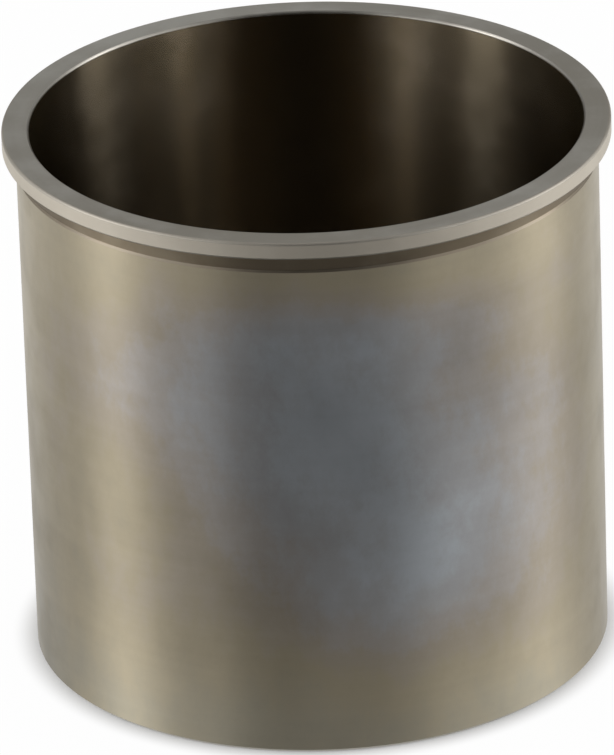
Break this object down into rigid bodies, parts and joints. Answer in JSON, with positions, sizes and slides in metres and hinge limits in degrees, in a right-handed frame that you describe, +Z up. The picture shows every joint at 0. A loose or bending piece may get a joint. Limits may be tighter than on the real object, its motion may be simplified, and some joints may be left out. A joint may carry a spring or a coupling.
{
  "type": "cylinder liner",
  "caption": "Flanged dry cylinder liner: a thin turned iron sleeve with a honed bore, a ground outside and a rim that seats in the block's counterbore.",
  "frame": {"origin": "centre of the lower end, on the bore's axis", "axes": "+Z up the bore's axis to the flange; the part is the same all round, so +X and +Y have no meaning of their own"},
  "size_m": [0.106, 0.106, 0.0976],
  "materials": {
    "ground_iron": "ground outside and honed inside, bare, with faint straw and blue patches from heat"
  },
  "bodies": {
    "root": {"cylinder_liner": "ground_iron"}
  },
  "joints": []
}
